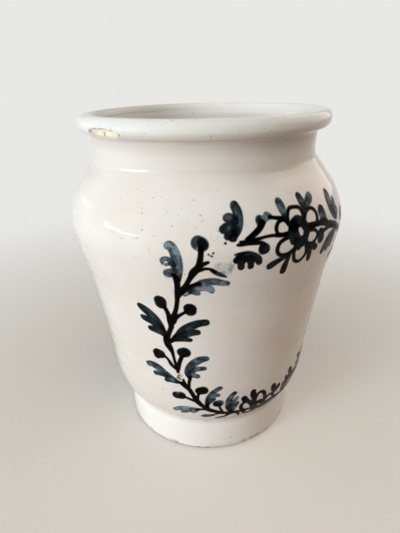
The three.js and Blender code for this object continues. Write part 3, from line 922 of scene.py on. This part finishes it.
class Canvas:
    """The painted surface unrolled into rows of height and columns of azimuth, with the ink at each spot."""

    def __init__(self):
        self.azimuth = np.arange(*CANVAS["azimuths"], CANVAS["step"])
        self.height = np.arange(*CANVAS["heights"], CANVAS["step"])
        blank = (len(self.height), len(self.azimuth))
        self.layers = {name: np.zeros(blank) for name in ("tone", "warmth", "cover", "across", "along")}

    def measure(self, run):
        """Where a stroke can reach, the gap to its edge in millimetres, and each spot's place in it."""
        reach = run[:, 2].max() + REACH
        per_degree = np.radians(body_radius(run[:, 1].mean()))
        aside = reach / per_degree
        low, high = run[:, :2].min(0), run[:, :2].max(0)
        rows = slice(*np.searchsorted(self.height, [low[1] - reach, high[1] + reach]))
        columns = slice(*np.searchsorted(self.azimuth, [low[0] - aside, high[0] + aside]))
        azimuth, height = np.meshgrid(self.azimuth[columns], self.height[rows])
        gap = np.full(azimuth.shape, FAR)
        along, across, start = np.zeros(azimuth.shape), np.zeros(azimuth.shape), 0
        for p, q in zip(run[:-1], run[1:]):
            dx, dy = (q[0] - p[0]) * per_degree, q[1] - p[1]
            length = max(math.hypot(dx, dy), 1e-6)
            x, y = (azimuth - p[0]) * per_degree, height - p[1]
            t = np.clip((x * dx + y * dy) / length**2, 0, 1)
            here = np.hypot(x - t * dx, y - t * dy) - (p[2] + t * (q[2] - p[2]))
            nearer = here < gap
            gap = np.where(nearer, here, gap)
            along = np.where(nearer, start + t * length, along)
            across = np.where(nearer, (x * dy - y * dx) / length, across)
            start += length
        return (rows, columns), gap, along, across, start

    def tone(self, ink, gap, part):
        """An ink's darkness at a gap from the edge of a stroke and a part of the way along it."""
        start, middle, end = ink.tone
        tone = middle + (start - middle) * smoothstep(FADES[0], 0, part)
        tone = tone + (end - middle) * smoothstep(FADES[1], 1, part)
        return tone + ink.pool * np.exp(-((gap / POOL_WIDTH) ** 2))

    def paint(self, runs):
        """Lays strokes one over another, and gives the gap in millimetres from each spot to the outline."""
        outline = np.full(self.layers["cover"].shape, FAR)
        for name, stations in each_stroke(runs):
            ink = INKS[name]
            run = smooth_run(stations, 5) + (0, -DROP, SPREAD)
            area, gap, along, across, length = self.measure(run)
            opacity = ink.hides * smoothstep(ink.soft / 2, -ink.soft / 2, gap)
            cover = self.layers["cover"][area]
            if name == "bare":
                self.layers["cover"][area] = cover * (1 - opacity)
                continue
            share = np.where(cover > BARELY_COVERED, opacity, opacity > 0)
            tone = self.tone(ink, gap, along / length)
            new = {"tone": tone, "warmth": ink.warmth, "across": across, "along": along}
            for layer, value in new.items():
                self.layers[layer][area] += (value - self.layers[layer][area]) * share
            self.layers["cover"][area] = 1 - (1 - cover) * (1 - opacity)
            outline[area] = np.minimum(outline[area], gap)
        return outline


# How far paint stands proud of the glaze in the middle and at its edge, how far its body reaches in, how
# far past a stroke's outline the piece goes while its ink fades out, and how far within that a spot counts
PAINT = {"proud": 0.03, "edge": -0.03, "root": -0.16, "margin": 0.3, "inside": 0.03}
# The least slope, squared, by which a spot outside the outline is drawn in to it
LEAST_STEEP = 0.2
# What each of a painted point's attributes holds
BROUGHT = {"ink": ("tone", "warmth", "cover"), "brush": ("across", "along", None)}


def painted_cells(inside):
    """The canvas spots that a piece uses and the faces between them, where a corner of a face is inside."""
    first, second = slice(0, -1), slice(1, None)
    corners = [(first, first), (first, second), (second, second), (second, first)]
    kept = np.logical_or.reduce([inside[c] for c in corners])
    spot = np.arange(inside.size).reshape(inside.shape)
    used, quads = np.unique(np.stack([spot[c][kept] for c in corners], 1), return_inverse=True)
    return used, quads.reshape(-1, 4)


def walls_around(quads, count):
    """The faces from the open edges of some faces down to the same faces, a count of points further on."""
    edges = np.stack([quads, np.roll(quads, -1, 1)], -1).reshape(-1, 2)
    lone = {}
    for a, b in edges.tolist():
        if lone.pop((b, a), None) is None:
            lone[a, b] = True
    return [[b, a, a + count, b + count] for a, b in lone]


def pressed(azimuth, height, depths):
    """Places on the glaze, raised square to it by each of some depths."""
    rise = 0.2
    lean = (body_radius(height + rise) - body_radius(height - rise)) / (2 * rise)
    slant = np.sqrt(1 + lean**2)
    radius = body_radius(height) + outside_marks(azimuth, height)
    return np.vstack([on_jar(azimuth, radius + d / slant, height - d * lean / slant) for d in depths])


def painted_piece(name, canvas, outline):
    """A thin closed piece of painted glaze, over the part of the canvas inside an outline."""
    margin = PAINT["margin"]
    used, quads = painted_cells(outline < margin - PAINT["inside"])
    azimuth, height = np.meshgrid(canvas.azimuth, canvas.height)
    per_degree = np.radians(body_radius(height))
    slope_h, slope_a = np.gradient(np.minimum(outline, REACH), CANVAS["step"])
    slope_a = slope_a / per_degree
    over = np.maximum(outline - margin, 0) / np.maximum(slope_h**2 + slope_a**2, LEAST_STEEP)
    azimuth = (azimuth - over * slope_a / per_degree).ravel()[used]
    height = (height - over * slope_h).ravel()[used]
    gap = np.minimum(outline.ravel()[used], margin)
    lift = PAINT["proud"] + (PAINT["edge"] - PAINT["proud"]) * smoothstep(0, margin, gap)

    count = len(used)
    faces = quads.tolist() + (quads[:, ::-1] + count).tolist() + walls_around(quads, count)
    piece = make_object(name, pressed(azimuth, height, (lift, PAINT["root"])), faces, SHARP["paint"])
    for attribute, parts in BROUGHT.items():
        values = [canvas.layers[part].ravel()[used] if part else np.zeros(count) for part in parts]
        values = np.tile(np.stack(values, 1), (2, 1)).astype(np.float32)
        made = piece.data.attributes.new(attribute, "FLOAT_VECTOR", "POINT")
        made.data.foreach_set("vector", values.ravel())
    return piece


def make_wreath():
    luck = np.random.default_rng(7)
    groups = {
        "wreath_near_leaves": ARM_LEAVES,
        "wreath_far_leaves": far_arm(ARM_LEAVES, luck),
        "wreath_near_berries": ARM_BERRIES,
        "wreath_far_berries": far_arm(ARM_BERRIES, luck),
        "wreath_flaked_patch": FLAKED_PATCH,
        "wreath_near_stems": ARM_STEMS,
        "wreath_far_stems": far_arm(ARM_STEMS + FLAKED_STEM, luck),
        "wreath_near_spray": SPRAY_LEAVES + SPRAY_BERRIES + SPRAY_STEMS,
        "wreath_far_spray": FAR_SPRAY_LEAVES + FAR_SPRAY_BERRIES + FAR_SPRAY_STEMS,
        "wreath_upper_rosette": TOP_ROSETTE,
        "wreath_lower_rosette": LOWER_ROSETTE,
    }
    canvas = Canvas()
    outlines = {name: canvas.paint(runs) for name, runs in groups.items()}
    return [painted_piece(name, canvas, outline) for name, outline in outlines.items()]


def make_camera():
    """The camera that took the photograph, found from the jar's outlines in it."""
    down, aside, roll = (math.radians(CAMERA[part]) for part in ("down", "aside", "roll"))
    forward = Vector((math.sin(aside) * math.cos(down), math.cos(aside) * math.cos(down), -math.sin(down)))
    right = forward.cross(Vector((0, 0, 1))).normalized()
    up = right.cross(forward)
    turned_right = math.cos(roll) * right + math.sin(roll) * up
    turned_up = math.cos(roll) * up - math.sin(roll) * right
    camera = bpy.data.objects.new("photo_camera", bpy.data.cameras.new("photo_camera"))
    camera.data.lens = CAMERA["focal"] * camera.data.sensor_width / max(PHOTO_SIZE)
    camera.data.clip_start = NEAREST_SEEN * MM
    axes = Matrix((turned_right, turned_up, -forward)).transposed().to_4x4()
    camera.matrix_world = Matrix.Translation(Vector(CAMERA["place"]) * MM) @ axes
    bpy.context.scene.collection.objects.link(camera)
    bpy.context.scene.camera = camera


# Lamps: the azimuth and elevation they shine from, their distance, width and height in metres, and watts.
# They point at a place up the jar's axis, in metres.
LAMPS = {
    "window": {"from": (-52, 7, 1.3), "size": (0.5, 0.7), "watts": 12.4, "colour": (0.9, 0.97, 1.0)},
    "ceiling": {"from": (20, 65, 1.3), "size": (1.2, 1.0), "watts": 6.8, "colour": (1.0, 0.92, 0.81)},
    "window_sill": {"from": (-70, 8, 1.1), "size": (0.62, 0.035), "watts": 1.0, "colour": (1.0, 1.0, 1.0)},
    "far_sill": {"from": (-117, 8, 1.1), "size": (0.4, 0.1), "watts": 0.07, "colour": (1.0, 1.0, 1.0)},
    "back_wall": {"from": (110, 26, 1.6), "size": (2.0, 1.4), "watts": 8.7, "colour": (1.0, 0.89, 0.76)},
}
LAMPS_AIM = (0, 0, 0.08)
# Lamps that light the jar but that its glaze doesn't mirror
UNMIRRORED = ("window", "ceiling")
# The room's light on the jar, strongest from the front left, and how much of it a reflection shows
ROOM = {
    "axis": (-0.7, -0.7, 0.14), "colour": (0.98, 1.0, 0.98), "power": 1.5, "strength": 0.49, "even": 0.005,
    "reflected": 0.3,
}
# The glaze mirrors the background instead of the room towards the back, as shares of the way there
MIRRORED_BACK = (-0.1, 0.5)
BACKGROUND = srgb(232, 232, 229)
# The floor is a disc just under the jar, here in metres. It fades into the background away from the jar.
FLOOR_DISC = {"vertices": 96, "radius": 6, "location": (0, 0, -0.0002)}
FLOOR_ROUGHNESS = 0.6
FLOOR_FADE = (70, 420, 0.14, 1.0)
FLOOR = srgb(242, 238, 232)
# The light that the floor throws back on the jar is that of a warm wooden table, paler near the window
FLOOR_BOUNCE = srgb(163, 128, 101)
WINDOW_BOUNCE = srgb(212, 203, 190)
BOUNCE_CHANGE = (-130, 40)


def make_lamps():
    for name, lamp in LAMPS.items():
        azimuth, elevation, distance = lamp["from"]
        a, e = math.radians(azimuth), math.radians(elevation)
        back = Vector((math.sin(a) * math.cos(e), -math.cos(a) * math.cos(e), math.sin(e)))
        data = bpy.data.lights.new(name, "AREA")
        data.shape, data.size, data.size_y = "RECTANGLE", *lamp["size"]
        data.energy, data.color = lamp["watts"], lamp["colour"]
        light = bpy.data.objects.new(name, data)
        light.location = Vector(LAMPS_AIM) + back * distance
        light.rotation_euler = back.to_track_quat("Z", "Y").to_euler()
        light.visible_glossy = name not in UNMIRRORED
        bpy.context.scene.collection.objects.link(light)


def make_world():
    """Soft room light for the jar, and the pale background for the camera and for what the glaze mirrors."""
    world = bpy.data.worlds.new("plain_room")
    world.use_nodes = True
    room = Nodes(world.node_tree)
    way = room.node("ShaderNodeTexCoord").outputs["Generated"]
    facing = room.math("MAXIMUM", room.vector("DOT_PRODUCT", way, Vector(ROOM["axis"]).normalized()), 0.0)
    strength = room.times(room.math("POWER", facing, ROOM["power"]), ROOM["strength"])
    ray = room.node("ShaderNodeLightPath").outputs
    behind = room.step(room.parts(way)["Y"], *MIRRORED_BACK)
    seen = room.seen(ray, room.times(ray["Is Glossy Ray"], behind))
    dimmed = room.step(ray["Is Glossy Ray"], 0, 1, 1.0, ROOM["reflected"])
    light = room.node("ShaderNodeBackground", inputs={"Color": (*ROOM["colour"], 1)})
    room.feed(light.inputs["Strength"], room.times(room.plus(strength, ROOM["even"]), dimmed))
    wall = room.node("ShaderNodeBackground", inputs={"Color": BACKGROUND, "Strength": 1.0})
    choice = room.node("ShaderNodeMixShader", inputs={0: seen, 1: light.outputs[0], 2: wall.outputs[0]})
    room.feed(room.tree.nodes["World Output"].inputs["Surface"], choice.outputs[0])
    bpy.context.scene.world = world


def make_floor():
    """A plain pale floor that runs out into the background."""
    bpy.ops.mesh.primitive_circle_add(fill_type="NGON", **FLOOR_DISC)
    floor = bpy.context.object
    floor.name = "floor"
    look = Look("pale_floor")
    ray = look.node("ShaderNodeLightPath").outputs
    bounce = look.mix(look.step(look.across, *BOUNCE_CHANGE), WINDOW_BOUNCE, FLOOR_BOUNCE)
    look.feed(look.shader["Base Color"], look.mix(ray["Is Diffuse Ray"], FLOOR, bounce))
    look.feed(look.shader["Roughness"], FLOOR_ROUGHNESS)
    away = look.vector("DISTANCE", look.place, (0, 0, 0))
    faded = look.times(look.seen(ray, ray["Is Glossy Ray"]), look.step(away, *FLOOR_FADE))
    glow = look.node("ShaderNodeEmission", inputs={"Color": BACKGROUND}).outputs[0]
    body = look.tree.nodes["Principled BSDF"].outputs[0]
    choice = look.node("ShaderNodeMixShader", inputs={0: faded, 1: body, 2: glow}).outputs[0]
    look.feed(look.tree.nodes["Material Output"].inputs["Surface"], choice)
    floor.data.materials.append(look.material)


make_camera()
make_world()
make_lamps()
make_floor()

vessel = make_vessel()
looks = {
    "outer_glaze_coat": (make_glaze("white_glaze"), "outer_glaze", "white_glaze"),
    "inner_glaze_coat": (make_glaze("lining_glaze", lining=True), "inner_glaze", "lining_glaze"),
    "clay_vessel": (make_clay(), "clay_body", "fired_clay"),
}
for name, (material, node, slot) in looks.items():
    piece = vessel[name]
    piece.data.materials.append(material)
    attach(piece, "root")
    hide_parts(node)

paint = make_paint()
for piece in make_wreath():
    piece.data.materials.append(paint)
    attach(piece, "root")

bpy.context.scene.view_settings.view_transform = "Standard"
